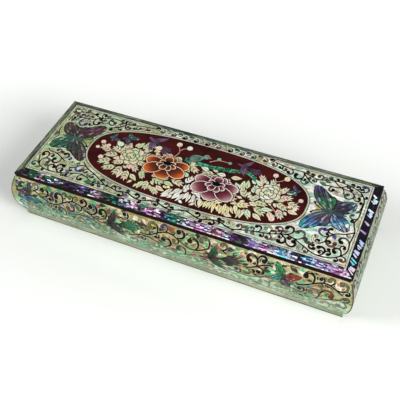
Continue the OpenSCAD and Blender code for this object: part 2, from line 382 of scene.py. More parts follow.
class Inlay:
    def __init__(self, name, chart, body, material, slot):
        self.name, self.chart, self.body, self.material, self.slot = name, chart, body, material, slot
        self.points, self.tints, self.faces = [], [], []

    def point(self, u, v, tint, layer):
        self.points.append((u, v, INLAY_LIFT + layer * INLAY_LAYER))
        self.tints.append(tint)
        return len(self.points) - 1

    def sheet(self, grid, tints, layer=0):
        """A surface over rows of places, with one tint to each row."""
        rows = [[self.point(u, v, tint, layer) for u, v in line] for line, tint in zip(grid, tints)]
        for low, high in zip(rows, rows[1:]):
            for c in range(len(low) - 1):
                self.faces.append((low[c], low[c + 1], high[c + 1], high[c]))

    def strip(self, spine, widths, tints, layer=0, columns=1):
        """A band along a spine, with a half-width and a tint at each of its points."""
        grid = []
        for i, (u, v) in enumerate(spine):
            before, after = spine[max(i - 1, 0)], spine[min(i + 1, len(spine) - 1)]
            along_u, along_v = after[0] - before[0], after[1] - before[1]
            length = hypot(along_u, along_v) or 1.0
            offsets = [widths[i] * (2 * c / columns - 1) for c in range(columns + 1)]
            grid.append([(u + along_v / length * w, v - along_u / length * w) for w in offsets])
        self.sheet(grid, tints, layer)

    def disc(self, u, v, radius, tint, layer=0, middle=None, sides=12):
        centre = self.point(u, v, middle or tint, layer)
        turns = [tau * i / sides for i in range(sides)]
        ring = [self.point(u + radius * cos(turn), v + radius * sin(turn), tint, layer) for turn in turns]
        self.faces += [(centre, a, b) for a, b in zip(ring, ring[1:] + ring[:1])]

    def outward(self, face):
        """The face, turned over if it would look into the box."""
        corners = [self.points[i] for i in face]
        area = sum(p[0] * q[1] - q[0] * p[1] for p, q in zip(corners, corners[1:] + corners[:1]))
        return face if area > 0 else tuple(reversed(face))

    def build(self):
        mesh = bpy.data.meshes.new(self.name)
        mesh.from_pydata([self.chart(*p) for p in self.points], [], [self.outward(f) for f in self.faces])
        colours = mesh.color_attributes.new("tint", "FLOAT_COLOR", "POINT")
        colours.data.foreach_set("color", [c for tint in self.tints for c in tint])
        low = [min(p[i] for p in self.points) for i in (0, 1)]
        span = [max(p[i] for p in self.points) - low[i] for i in (0, 1)]
        layer = mesh.uv_layers.new(name="OFBake")
        for loop in mesh.loops:
            u, v, lift = self.points[loop.vertex_index]
            layer.data[loop.index].uv = ((u - low[0]) / span[0], (v - low[1]) / span[1])
        mesh.materials.append(self.material)
        mesh.update()
        piece = add_object(self.name, mesh)
        solid = piece.modifiers.new("thickness", "SOLIDIFY")
        solid.thickness = INLAY_THICK * MM
        solid.offset = -1
        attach(piece, self.body)


# Shapes drawn on a chart

# Steps of a tendril
STEPS = 26
# A comma's root, what it gains by its end and its head, as shares of its stroke, and the length of a full one
COMMA_ROOT, COMMA_GAIN, COMMA_HEAD = 0.5, 0.8, 1.75
COMMA_FULL = 15.0
# Where a leaf and a petal are widest, as shares of their lengths, and a petal's root as a share of its width
LEAF_WIDEST, PETAL_WIDEST = 0.36, 0.6
PETAL_ROOT = 0.16


def ramp(stops, share):
    """A tint between evenly spaced stops."""
    place = min(max(share, 0.0), 1.0) * (len(stops) - 1)
    i = min(int(place), len(stops) - 2)
    return mix(stops[i], stops[i + 1], place - i)


def smooth(points, per=6):
    """A smooth curve through the points."""
    ends = [points[0], *points, points[-1]]
    curve = []
    for a, b, c, d in zip(ends, ends[1:], ends[2:], ends[3:]):
        for t in (i / per for i in range(per)):
            curve.append(tuple(
                0.5 * (2 * q + (r - p) * t + (2 * p - 5 * q + 4 * r - s) * t * t
                       + (3 * q - p - 3 * r + s) * t ** 3)
                for p, q, r, s in zip(a, b, c, d)))
    return curve + [points[-1]]


def tendril(u, v, heading, length, turn, power=2.0, steps=STEPS):
    """A path that leaves a place and winds up, by turn radians in all."""
    path = [(u, v)]
    step = length / steps
    for i in range(steps):
        angle = heading + turn * ((i + 0.5) / steps) ** power
        u += step * cos(angle)
        v += step * sin(angle)
        path.append((u, v))
    return path


def straight(u, v, heading, length, bend=0.0, steps=10):
    return tendril(u, v, heading, length, bend, 1.0, steps)


def wave(start, end, v, height, length, phase=0.0, step=1.0):
    count = int(abs(end - start) / step)
    places = [start + (end - start) * i / count for i in range(count + 1)]
    return [(u, v + height * sin(tau * u / length + phase)) for u in places]


def draw_line(inlay, path, start, end, tint, layer=0.0):
    """A line whose half-width runs from start to end."""
    last = len(path) - 1
    widths = [start + (end - start) * i / last for i in range(last + 1)]
    inlay.strip(path, widths, [tint] * len(path), layer)


def draw_comma(inlay, path, stroke, tint, layer, edge=0.0, start=0):
    """A curl that swells from its root to a round head, widened all round by an edge."""
    last = len(path) - 1
    widths = [stroke * (COMMA_ROOT + COMMA_GAIN * (i / last) ** 1.3) + edge for i in range(start, last + 1)]
    inlay.strip(path[start:], widths, [tint] * len(widths), layer)
    inlay.disc(*path[-1], COMMA_HEAD * stroke + edge, tint, layer)


def draw_leaf(inlay, path, width, stops, layer=0.0, edge=0.0):
    """A pointed leaf along a path, widened at its sides by an edge."""
    def half(t):
        if t < LEAF_WIDEST:
            wide = sin(0.5 * pi * t / LEAF_WIDEST)
        else:
            wide = 1 - ((t - LEAF_WIDEST) / (1 - LEAF_WIDEST)) ** 1.5
        return width * wide + edge * (1 - t ** 4) + 0.04

    shares = [i / (len(path) - 1) for i in range(len(path))]
    inlay.strip(path, [half(t) for t in shares], [ramp(stops, t) for t in shares], layer, 2)


def draw_leaflet(shell, ink, path, width, stops, line, layer=0.0, edge=0.22, vein=0.12):
    """A leaf with a dark edge and, unless its vein is 0, a midrib."""
    draw_leaf(ink, path, width, [line, line], layer, edge)
    draw_leaf(shell, path, width, stops, layer + 0.1)
    if vein:
        draw_line(ink, path[1:-2], vein, 0.5 * vein, line, layer + 0.2)


def petal_grid(at, root, heading, length, width, notch=0.0, tip=0.93, rows=8, columns=8, lean=0.0):
    """Places over a petal or a wing, narrow at its root and widest past its middle.

    A tip near 1 closes in a round end; at a half the end stays wide, and the columns fan out.
    A lean draws out one corner of the end and takes back the other.
    """
    c, s = cos(radians(heading)), sin(radians(heading))
    grid = []
    for t in (i / rows for i in range(rows + 1)):
        wide = width * (PETAL_ROOT + (1 - PETAL_ROOT) * sin(0.5 * pi * min(t / PETAL_WIDEST, 1.0)))
        wide *= sqrt(1 - tip * max((t - PETAL_WIDEST) / (1 - PETAL_WIDEST), 0.0) ** 2)
        line = []
        for a in (2 * j / columns - 1 for j in range(columns + 1)):
            end = 1 + lean * a * t - 0.5 * (1 - tip) * (a * t) ** 2
            x = length * t * (end - notch * exp(-(a / 0.4) ** 2) * t ** 4)
            y = a * wide
            line.append(at(root[0] + x * c - y * s, root[1] + x * s + y * c))
        grid.append(line)
    return grid


def rim(grid):
    """The outline of a grid of places, from its root round its tip and back."""
    return [row[0] for row in grid] + grid[-1][1:-1] + [row[-1] for row in reversed(grid)]


def draw_petal(shell, ink, grid, stops, line, edge, layer):
    """A petal whose tint runs from its root to its tip, with an outline."""
    rows = len(grid) - 1
    shell.sheet(grid, [ramp(stops, i / rows) for i in range(rows + 1)], layer)
    draw_line(ink, rim(grid), edge, edge, line, layer + 0.1)


# Vines that grow into the free ground of a chart

# Room at the sides of a comma and at its head, as shares of its stroke, and the gap beyond that
COMMA_ROOM, HEAD_ROOM = 1.7, COMMA_HEAD + 0.6
COMMA_GAP = 0.2
# How much longer than straight the way out of a root's own room is
ROOT_DETOUR = 1.25
# The pale edge of shell round a scroll, and the inset and first step of a coloured head
HALO = 0.36
FILL_INSET, FILL_FROM = 0.42, 10


class Ground:
    """Where a chart is still free, kept as a set of small taken cells."""
    CELL = 0.5

    def __init__(self, inside):
        self.inside = inside
        self.taken = set()

    def cell(self, u, v):
        return (round(u / self.CELL), round(v / self.CELL))

    def clear(self, u, v):
        return self.inside(u, v) and self.cell(u, v) not in self.taken

    def free(self, path):
        return all(self.clear(*point) for point in path)

    def mark(self, path, reach):
        span = int(reach / self.CELL) + 1
        for a, b in (self.cell(*point) for point in path):
            for i in range(-span, span + 1):
                for j in range(-span, span + 1):
                    if hypot(i, j) * self.CELL <= reach:
                        self.taken.add((a + i, b + j))

    def mark_inlay(self, inlays, reach):
        self.mark([point[:2] for inlay in inlays for point in inlay.points], reach)

    def mark_comma(self, path, stroke):
        self.mark(path, COMMA_ROOM * stroke + COMMA_GAP)
        self.mark(path[-1:], HEAD_ROOM * stroke + COMMA_GAP)

    def runs(self, path):
        """The runs of a path that lie on free ground."""
        found = [[]]
        for point in path:
            if self.clear(*point):
                found[-1].append(point)
            elif found[-1]:
                found.append([])
        return [run for run in found if len(run) > 6]


def roots_of(path, every):
    """Places on a path where a branch can start, with the path's heading there."""
    found = []
    for before, (u, v), after in list(zip(path, path[1:], path[2:]))[::every]:
        found.append((u, v, atan2(after[1] - before[1], after[0] - before[0])))
    return found


def grow(ground, stems, commas, rng, lengths, tries, stroke):
    """Adds commas that branch off the stems and each other, longest first, wherever there is room."""
    def branches(path):
        return roots_of(path[3:16], 3)

    roots = [root for stem in stems for root in roots_of(stem, 2)]
    roots += [root for path, size in commas for root in branches(path)]
    for length in lengths:
        for attempt in range(tries):
            u, v, heading = rng.choice(roots)
            side = rng.choice((-1, 1))
            reach = length * rng.uniform(0.85, 1.15)
            size = stroke * (0.55 + 0.45 * min(reach / COMMA_FULL, 1.2))
            heading += side * rng.uniform(0.1, 0.8)
            path = tendril(u, v, heading, reach, side * rng.uniform(3.5, 4.6), 1.7)
            skip = int((COMMA_ROOM * stroke + COMMA_GAP) / reach * STEPS * ROOT_DETOUR) + 3
            if ground.free(path[skip:]):
                ground.mark_comma(path, size)
                commas.append((path, size))
                roots += branches(path)
    return roots


def grow_leaves(ground, roots, rng, tries, gap, sizes):
    leaves = []
    for attempt in range(tries):
        u, v, heading = rng.choice(roots)
        side = rng.choice((-1, 1))
        size = rng.uniform(*sizes)
        path = straight(u, v, heading + side * rng.uniform(0.5, 1.2), size, side * rng.uniform(-0.8, 0.4))
        skip = int(gap / size * 10) + 2
        if skip < 9 and ground.free(path[skip:]):
            ground.mark(path, gap)
            leaves.append(path)
    return leaves


def grow_rounds(ground, stems, commas, rng, stroke, tries, rounds):
    """Commas and then leaves in each round, which is (lengths of commas, tries, gap and sizes of leaves)."""
    leaves = []
    for lengths, *leaf_sizes in rounds:
        roots = grow(ground, stems, commas, rng, lengths, tries, stroke)
        leaves += grow_leaves(ground, roots, rng, *leaf_sizes)
    return leaves


def draw_vines(shell, ink, stems, commas, leaves, rng, look, fade=lambda tint, v: tint):
    """Dark scrolls, each with a pale edge of shell and some with a coloured head, and leaves between them.

    fade changes a tint by its height on the chart.
    """
    half = 0.6 * look["stroke"]
    for stem in stems:
        draw_line(shell, stem, half + HALO, half + HALO, look["halos"][0], 0.4)
        ink.strip(stem, [half] * len(stem), [fade(look["inks"][0], v) for u, v in stem], 1)
    for path, size in commas:
        draw_comma(shell, path, size, rng.choice(look["halos"]), 0.4, HALO)
        draw_comma(ink, path, size, fade(rng.choice(look["inks"]), path[-1][1]), 1)
        fill = rng.choice(look["fills"])
        if fill:
            draw_comma(shell, path, size, fade(fill, path[-1][1]), 1.2, -FILL_INSET, FILL_FROM)
    for path in leaves:
        tint = fade(rng.choice(look["leaves"]), path[0][1])
        width = dist(path[0], path[-1]) * rng.uniform(0.22, 0.3)
        draw_leaflet(shell, ink, path, width, [mix(tint, INK, 0.4), tint], mix(tint, INK, 0.85), 1.5)


# Motifs: each is drawn in its own coordinates, at a spot on the chart that is (u, v, turn, size)

MOTTLE = random.Random(17)
# A wing's half-width, and how far its end slants, as shares of a forewing's length
WING_HALF, FORE_LEAN, HIND_LEAN = 0.3, 0.26, 0.2


def placed(u, v, turn=0.0, size=1.0, squash=1.0):
    c, s = cos(radians(turn)) * size, sin(radians(turn)) * size

    def at(x, y):
        y *= squash
        return (u + x * c - y * s, v + x * s + y * c)
    return at


def draw_butterfly(shell, ink, spot, palette, line, layer=0.0, spread=(56, 124), hind=0.74):
    """A butterfly that faces +x; its palette is two forewings and two hindwings, root to rim, and the body.

    spread is the headings of the forewings and hindwings, and hind the length of the hindwings.
    """
    at, size = placed(*spot), spot[3]
    *wings, (body,) = palette
    fore, back = spread
    parts = ((-back, hind, -HIND_LEAN), (back, hind, HIND_LEAN),
             (-fore, 1.0, FORE_LEAN), (fore, 1.0, -FORE_LEAN))
    rows, columns = 7, 9
    for k, ((heading, length, lean), stops) in enumerate(zip(parts, reversed(wings))):
        step = layer + 0.8 * (k > 1)
        glint = mix(stops[-1], WHITE, 0.55)
        grid = petal_grid(at, (0.04, 0.0), heading, length, WING_HALF, 0.0, 0.6, rows, columns, lean)
        draw_line(ink, rim(grid), 0.022 * size, 0.022 * size, line, step)
        for point in rim(grid)[6:-6:2]:
            ink.disc(*point, 0.036 * size, line, step, sides=6)
        for i in range(rows):
            for j in range(columns):
                tint = ramp(stops, (i + MOTTLE.random()) / rows)
                fleck = MOTTLE.choice((line, line, line, stops[-1], glint))
                tint = mix(tint, fleck, MOTTLE.random() ** 2 * 0.85)
                shell.sheet([grid[i][j:j + 2], grid[i + 1][j:j + 2]], [tint, tint], step + 0.1)
        for column in (2, 4, 5, 7):
            draw_line(ink, [row[column] for row in grid[1:]], 0.006 * size, 0.014 * size, line, step + 0.2)
    spine = [at(x, 0) for x in (-0.46, -0.38, -0.26, -0.12, 0.0, 0.12, 0.22, 0.28, 0.33)]
    widths = [size * w for w in (0.01, 0.035, 0.055, 0.065, 0.075, 0.085, 0.055, 0.06, 0.03)]
    shell.strip(spine, widths, [mix(body, INK, 0.5 * (i % 2)) for i in range(len(spine))], layer + 1.6)
    for side in (-1, 1):
        feeler = [at(*p) for p in tendril(0.3, side * 0.02, side * 0.35, 0.34, side * 0.8, 2.0, 12)]
        draw_line(ink, feeler, 0.016 * size, 0.022 * size, line, layer + 1.6)
        ink.disc(*feeler[-1], 0.04 * size, line, layer + 1.6)


def draw_bird(shell, ink, spot, palette, line, layer=0.0):
    """A bird that flies towards +x: tail and wings of single feathers, then body, head and beak."""
    at, size = placed(*spot), spot[3]
    coat, wing, tail = palette

    def feather(x, y, heading, length, width, stops, step):
        path = [at(*p) for p in straight(x, y, radians(heading), length, 0.3)]
        draw_leaflet(shell, ink, path, width * size, stops, line, step, 0.032 * size)

    for k in (-2, 2, -1, 1, 0):
        feather(-0.3, 0.0, 176 + 9 * k, 1.35 - 0.16 * abs(k), 0.055, tail, layer + 0.6 - 0.3 * abs(k))
    for k in range(5):
        feather(0.3, 0.05, 172 - 11 * k, 0.55 + 0.16 * k, 0.065, wing, layer + 0.3 * k)
        feather(0.3, -0.05, -172 + 9 * k, 0.5 + 0.13 * k, 0.065, wing, layer + 0.3 * k)
    spine = [at(x, 0.03 * sin(3 * x)) for x in (-0.42, -0.3, -0.15, 0.0, 0.15, 0.3, 0.42, 0.52, 0.6)]
    widths = [size * w for w in (0.03, 0.07, 0.1, 0.12, 0.12, 0.1, 0.085, 0.08, 0.04)]
    shell.strip(spine, widths, [ramp(coat, i / 8) for i in range(9)], layer + 1.6)
    ink.strip([at(0.58, 0.02), at(0.78, 0.0)], [0.04 * size, 0.006 * size], [line] * 2, layer + 1.6)
    ink.disc(*at(0.5, 0.03), 0.03 * size, INK, layer + 1.8)


def draw_perched_bird(shell, ink, spot, palette, line, layer=0.0):
    """A bird at rest that looks towards +x: body, folded wing, head and beak."""
    at, size = placed(*spot), spot[3]
    coat, wing = palette
    body = petal_grid(at, (0.6, 0.3), 206, 1.3, 0.42)
    draw_petal(shell, ink, body, coat, line, 0.03 * size, layer)
    for k in range(4):
        path = [at(*p) for p in straight(0.3, 0.24 - 0.07 * k, radians(204 + 6 * k), 0.9, 0.2, 8)]
        draw_leaflet(shell, ink, path, 0.09 * size, wing, line, layer + 0.3 + 0.3 * k)
    shell.disc(*at(0.68, 0.42), 0.24 * size, coat[0], layer + 1.8)
    ink.strip([at(0.86, 0.44), at(1.1, 0.36)], [0.08 * size, 0.01 * size], shades("be9678") * 2, layer + 1.8)
    ink.disc(*at(0.74, 0.48), 0.05 * size, INK, layer + 2)


def draw_figures(shell, ink, figures, line):
    for draw, spot, palette in figures:
        draw(shell, ink, spot, palette, line, layer=2)


# Lid: butterflies, vine and borders on the field

FIELD_STROKE = 1.08
FIELD_LOOK = {
    "stroke": FIELD_STROKE, "inks": shades("242218 28261c 32201a 222a20 362820"),
    "fills": [None] * 5 + shades("4c503a 38604a 64563e 704432 246850 4e428c cccaaa b6c4a6"),
    "leaves": shades("247c54 32866a 5c7046 4a583e 6e6046 645696"),
    "halos": shades("e2e0cc f2f0e6 d0e8d4 f0dcd4"),
}
FIELD_ROUNDS = (((18, 15, 13), 900, 1.5, (5.5, 8.0)), ((11, 9.5, 8, 6.5, 5.4), 6000, 1.2, (3.5, 6.0)))
FOREWING = 29.0
LEFT_BUTTERFLY = palettes(
    "160e14 461c2e 683048", "121e1c 344a40 4c2236", "161010 302220 604e42", "062a28 0c5c4a 24845c", "185a4e")
RIGHT_BUTTERFLY = palettes(
    "3c2e38 705e68 604c5a 083e88 0c7cb0 46c4d0", "061e18 08542c 147a3e 0a4c2c 362030 48469e",
    "180a2e 361e54 302c6c 40a6cc f0fafc 1c60ae", "0c0911 241a34 362a4e 28223e 689cb0", "164e46")
# Bare margins at the field's edge and round the oval
FIELD_MARGIN, OVAL_MARGIN = 2.6, 1.9
# Middles of the bands in front of the oval and behind it, and the wave along the front one
FRONT_V = (OVAL_Y - OVAL_B - FIELD_W) / 2
BACK_V = (OVAL_Y + OVAL_B + FIELD_W) / 2
FRONT_WAVE = {"start": -58, "end": 58, "v": FRONT_V, "height": 1.9, "length": 29}
FIELD_STEMS = (
    ((58, FRONT_V), (70, -40), (84, -37), (97, -33), (110, -38), (124, -44), (138, -42), (147, -33),
     (147, -22)),
    ((-58, FRONT_V), (-70, -40), (-84, -41), (-98, -36), (-112, -40), (-126, -43), (-140, -40), (-147, -28)),
    ((-147, 26), (-148, 10), (-145, 2), (-148, -8), (-147, -26)),
    ((147, 22), (147, 8), (145, 0), (148, -10), (147, -22)),
    ((60, BACK_V), (74, 42), (88, 42), (102, 38), (116, 42), (130, 41), (142, 36), (147, 26), (146, 16)),
    ((-60, BACK_V), (-76, 43), (-90, 40), (-104, 43), (-118, 39), (-132, 42), (-144, 37), (-147, 24)),
    ((88, 42), (95, 34), (103, 29), (105, 22)), ((-90, 40), (-96, 33), (-104, 29), (-107, 23)),
    ((116, 42), (124, 36), (134, 34), (139, 28)), ((148, -10), (142, -14), (134, -17), (128, -23)),
    ((-72, -40), (-84, -33), (-97, -27), (-106, -19)), ((-118, 39), (-126, 34), (-136, 33), (-141, 27)),
    ((-147, -12), (-142, -19), (-132, -21), (-121, -27)), ((130, 41), (122, 35), (112, 34), (107, 30)),
)


def oval_share(u, v, margin):
    """Below 1 inside the oval drawn out by a margin, and above 1 outside it."""
    a = abs(u - OVAL_X) / (OVAL_A + margin)
    b = abs(v - OVAL_Y) / (OVAL_B + margin)
    return a ** OVAL_POWER + b ** OVAL_POWER


def oval_path(margin, steps=160):
    """A closed path round the oval, drawn out by a margin."""
    def bow(c):
        return copysign(abs(c) ** (2 / OVAL_POWER), c)

    turns = [tau * k / steps for k in range(steps + 1)]
    return [(OVAL_X + (OVAL_A + margin) * bow(cos(turn)), OVAL_Y + (OVAL_B + margin) * bow(sin(turn)))
            for turn in turns]


def on_field(u, v):
    inside = abs(u) <= FIELD_L - FIELD_MARGIN and abs(v) <= FIELD_W - FIELD_MARGIN
    return inside and oval_share(u, v, OVAL_MARGIN) > 1


def wave_commas(start, end, v, height, length, main=12.0, side=6.5):
    """Commas on a wave: a main one in each hollow and a smaller one at its side on each crest."""
    commas = []
    for k in range(int((end - start) / length * 2)):
        crest = start + length * (k + 0.5) / 2
        up = 1 if k % 2 == 0 else -1
        pair = (crest - 0.22 * length, main, -up * 4.4), (crest + 0.02 * length, side, up * 4.2)
        for place, reach, turn in pair:
            phase = tau * (place - start) / length
            heading = atan(height * cos(phase) * tau / length)
            path = tendril(place, v + height * sin(phase), heading, reach, turn, 1.6)
            commas.append((path, FIELD_STROKE * (0.62 + 0.36 * reach / main)))
    return commas


def running_commas(start, end, v, step, reach):
    """A row of small commas that face up and down by turns."""
    commas = []
    for k in range(int((end - start) / step)):
        up = 1 if k % 2 == 0 else -1
        path = tendril(start + k * step, v - up * 1.5, up * 0.25, reach, up * 4.3, 1.6)
        commas.append((path, 0.92 * FIELD_STROKE))
    return commas


def make_field():
    rng = random.Random(11)
    shell = Inlay("field_figures", lid_top, "lid", TINTED_SHELL, "field_shell")
    ink = Inlay("field_lines", lid_top, "lid", INK_LACQUER, "field_shell")
    ground = Ground(on_field)
    draw_butterfly(shell, ink, (-128.5, 4, 0, FOREWING), LEFT_BUTTERFLY, rgb("1e1616"), 0.0, (58, 128), 0.8)
    draw_butterfly(shell, ink, (124, 5, 180, FOREWING), RIGHT_BUTTERFLY, rgb("1a141c"), 0.0, (60, 132), 0.8)
    ground.mark_inlay((shell, ink), 1.7)
    stems = [wave(**FRONT_WAVE)] + [smooth(points) for points in FIELD_STEMS]
    stems = [run for stem in stems for run in ground.runs(stem)]
    commas = wave_commas(**FRONT_WAVE) + running_commas(-60, 62, BACK_V, 5.8, 8.5)
    for stem in stems:
        ground.mark(stem, 2.0)
    for path, size in commas:
        ground.mark_comma(path, size)
    leaves = grow_rounds(ground, stems, commas, rng, FIELD_STROKE, 2600, FIELD_ROUNDS)
    draw_vines(shell, ink, stems, commas, leaves, rng, FIELD_LOOK)
    # A dark line round the oval's ring, and a pale one inside a dark one at the edge of the field
    draw_line(ink, oval_path(0.45), 0.3, 0.3, BROWN, 0.2)
    corners = ((-1, -1), (1, -1), (1, 1), (-1, 1), (-1, -1))
    for inlay, inset, half, tint in ((shell, 0.7, 0.5, rgb("d0d0bc")), (ink, 1.5, 0.25, rgb("5c4636"))):
        for start, end in zip(corners, corners[1:]):
            shares = [mix(start, end, k / 8) for k in range(9)]
            path = [((FIELD_L - inset) * p, (FIELD_W - inset) * q) for p, q in shares]
            draw_line(inlay, path, half, half, tint)
    shell.build()
    ink.build()


# Lid: flowers, leaves, buds, bird and butterflies in the medallion

PETAL_GAP = rgb("220a08")
LEAF_LINE = rgb("321610")
# Tints of a peony's wide petals and small petals, root to tip, and of their edges
ORANGE = palettes("120509 1e080c 360d0c 66200b ac4810 d67e30", "0c0407 220a0a 60200c ba5e22", "fae2be")
MAUVE = palettes("120409 22050e 3e0a19 681d2e 925e64 ccbab2", "0e0307 2a0712 6a2934 ba8684", "faece6")
# Petals as (heading, length, half-width)
CROWN = ((34, 15.0, 3.9), (146, 15.0, 3.9), (62, 13.5, 3.9), (118, 13.5, 3.9), (90, 12.0, 4.1))
WIDE = ((6, 22.0, 6.0), (174, 22.0, 6.0), (-90, 22.0, 7.8), (-36, 24.0, 7.4), (216, 24.0, 7.4))
CUP = ((26, 8.5, 2.6), (154, 8.5, 2.6), (-18, 10.0, 2.8), (198, 10.0, 2.8), (-64, 9.5, 3.2), (244, 9.5, 3.2))
# Rings of a small flower as (petals, length, half-width)
RINGS = ((8, 12.5, 4.4), (6, 8.5, 3.8), (5, 4.8, 2.4))
# Leaves of a bush, feathered, large and small, as (share of the tries by which they end, lengths, bend,
# half-width, gap, vein)
FEATHERED = (0.25, (11.0, 14.5), 0.5, 0.85, 1.15, 0.0)
BUSH_LEAVES = (FEATHERED, (0.65, (7.5, 11.0), 0.6, 2.4, 2.5, 0.24), (1.0, (4.2, 6.4), 0.6, 1.35, 1.45, 0.0))

ORANGE_AT = (-31.0, 1.5)
MAUVE_AT = (20.0, -6.0)
LEFT_FLOWER_AT = (-67.0, 3.0)
RIGHT_FLOWER_AT = (67.0, 6.0)
# Bare margins inside the oval, for leaves of bushes and of fringes, and the top of the bushes
BUSH_MARGIN, FRINGE_MARGIN = 3.5, 2.2
BUSH_TOP = 22
# Ovals that leaves keep clear of, as (u, v, half-length, half-width): the flowers, the bird and its tail
FLOWER_GROUND = (
    (*ORANGE_AT, 17, 10.5), (*MAUVE_AT, 17, 10.5), (*LEFT_FLOWER_AT, 8, 8), (*RIGHT_FLOWER_AT, 8, 8),
    (-9, 24, 12, 9), (20, 19, 34, 5))
# Rows of long leaves as (start, end, headings, tints), and bushes as (centre, reach, tints)
FRINGES = (
    ((-15, -20.5), (14, -23), (-125, -85), (CREAM, PALE, PALE)),
    ((8, -23), (54, -19.5), (-110, -55), (PALE, YELLOW, YELLOW, YELLOW, LEAF)))
BUSHES = (
    ((-67, -3), (22, 19), (CREAM, LEAF, PINK, LEAF)),
    ((-40, -16), (24, 13), (LEAF, CREAM, LEAF)),
    ((-6, -21), (18, 11), (PALE, CREAM, mix(PALE, MINT, 0.3))),
    ((25, -22), (27, 9), (YELLOW, CREAM, CREAM)),
    ((51, -11), (17, 15), (mix(MINT, CREAM, 0.3), LEAF, CREAM)),
    ((68, -1), (22, 18), (LEAF, PINK, MINT, CREAM)),
    ((-20, 15), (13, 8), (LEAF, CREAM, LEAF)),
    ((-54, 12), (13, 8), (CREAM, LEAF, PINK)),
    ((26, 10), (24, 6), (PALE, CREAM, LEAF)),
    ((-5, -4), (9, 10), (LEAF, MINT, PALE)),
    ((-32, -17), (18, 7), (LEAF, CREAM, YELLOW)))
TWIGS = (
    ((-76, 2), (-88, 3), (-101, 1)), ((-88, 3), (-95, 7), (-99, 9)), ((-86, 2), (-90, -4), (-92, -8)),
    ((-30, 15), (-27, 23), (-31, 31)), ((-28, 25), (-25, 29), (-21, 31)), ((67, 14), (68, 21), (66, 27)),
    ((68, 21), (72, 23), (76, 27)), ((76, 2), (85, -4), (93, -4)), ((86, -4), (92, 1), (95, 6)),
    ((-43, 13), (-47, 17), (-47, 20)), ((74, -8), (81, -15), (79, -20)), ((-71, 11), (-78, 14), (-82, 13)),
    ((4, 22), (11, 27), (21, 27.5)))
BUDS = (
    (-102, 2, 1.9, PINK), (-100, 10, 2.4, PINK), (-93, 7.5, 2.0, PINK),
    (-93, -9, 2.5, PINK), (-83, 13, 3.0, MINT), (-31, 33, 2.8, PINK),
    (-20, 32, 2.8, mix(MINT, CREAM, 0.5)), (66, 28.5, 2.5, PINK), (77, 28, 2.7, rgb("f0d6aa")),
    (94, -4, 2.0, CREAM), (96, 7.5, 2.2, PINK), (-47, 21.5, 2.9, CREAM), (79, -21.5, 2.6, PINK),
    (89, -3, 1.5, CREAM), (11, 28.5, 2.0, rgb("50a078")), (22, 27.5, 1.9, rgb("468c6e")))
TAIL = ((-18, 17.5), (-9, 15.5), (3, 16.5), (16, 17.5), (28, 19.5), (38, 22), (47, 20), (53, 14))
TAIL_TINTS = shades("0a3a2c 14684c 38b07c 60ccb2")
PERCHED_BIRD = ((draw_perched_bird, (-9, 22, 0, 12), palettes("789684 3e6054", "2e5c50 8ca494")),)
DUSKY_FEATHERS = ("2c1a30 927c9e", "321a2c 745674")
DIM_WINGS = ("183a38 427468", "322a44 585876", "1e4a40 387e64", "2c2036 4e4660")
DUSKY_FIGURES = (
    (draw_bird, (-54, 28, 150, 15), palettes("381e32 705476", *DUSKY_FEATHERS)),
    (draw_butterfly, (-79, 23, -30, 9), palettes(*DIM_WINGS, "284242")),
    (draw_butterfly, (-93, 18, 40, 6.5), palettes(*DIM_WINGS, "1e5054")),
    (draw_bird, (36, 28.5, 166, 12), palettes("361a28 704862", *DUSKY_FEATHERS)),
    (draw_butterfly, (88, 16, 160, 7), palettes(*DIM_WINGS, "284242")))


def draw_peony(shell, ink, at, palette):
    """An open flower: a crown of small petals, wide separate ones below, an inner cup and a dark heart."""
    large, small, (edge,) = palette
    for k, petal in enumerate(CROWN + WIDE + CUP):
        grid = petal_grid(at, (0, 3.5), *petal, 0.06, 0.9)
        layer = 2.6 + 0.3 * k
        draw_line(ink, rim(grid), 1.1, 1.1, PETAL_GAP, layer)
        draw_petal(shell, shell, grid, large if petal in WIDE else small, edge, 0.34, layer + 0.1)
    heart = [at(x, 4.6) for x in (-5.4, -3.6, 0, 3.6, 5.4)]
    ink.strip(heart, [0.8, 2.3, 2.9, 2.3, 0.8], shades("08090e") * 5, 7.8)
    for k in range(9):
        turn = pi * (1 + k / 8)
        shell.disc(*at(4.2 * cos(turn), 4.4 + 2.5 * sin(turn)), 0.4, edge, 8.0, sides=6)


def draw_small_flower(shell, ink, at, tints):
    """An open pale flower: rings of notched petals round a small cup."""
    for ring, (count, length, width) in enumerate(RINGS):
        for k in range(count):
            heading = 360 * k / count + 17 * ring + MOTTLE.uniform(-8, 8)
            grid = petal_grid(at, (0, 0), heading, length * MOTTLE.uniform(0.85, 1.1), width, 0.1, 0.9, 6, 6)
            stops = [mix(tints[0], LEAF_LINE, 0.25), MOTTLE.choice(tints)]
            draw_petal(shell, ink, grid, stops, LEAF_LINE, 0.34, 3.4 + ring + 0.3 * (k % 3))
    shell.disc(*at(0, 0), 1.3, YELLOW, 6.6)


def spray_of(u, v, heading, length, bend):
    """The spine of a feathered leaf, and its lobes as paths from their roots."""
    spine = straight(u, v, heading, 0.7 * length, bend, 9)
    lobes = []
    for i in (1, 4, 7):
        turn = heading + bend * i / 9
        size = length * (0.46 - 0.012 * i)
        lobes += [straight(*spine[i], turn + side * 0.82, size, -side * 0.45, 7) for side in (-1, 1)]
    lobes.append(straight(*spine[7], heading + bend, length * 0.44, 0.0, 7))
    return spine, lobes


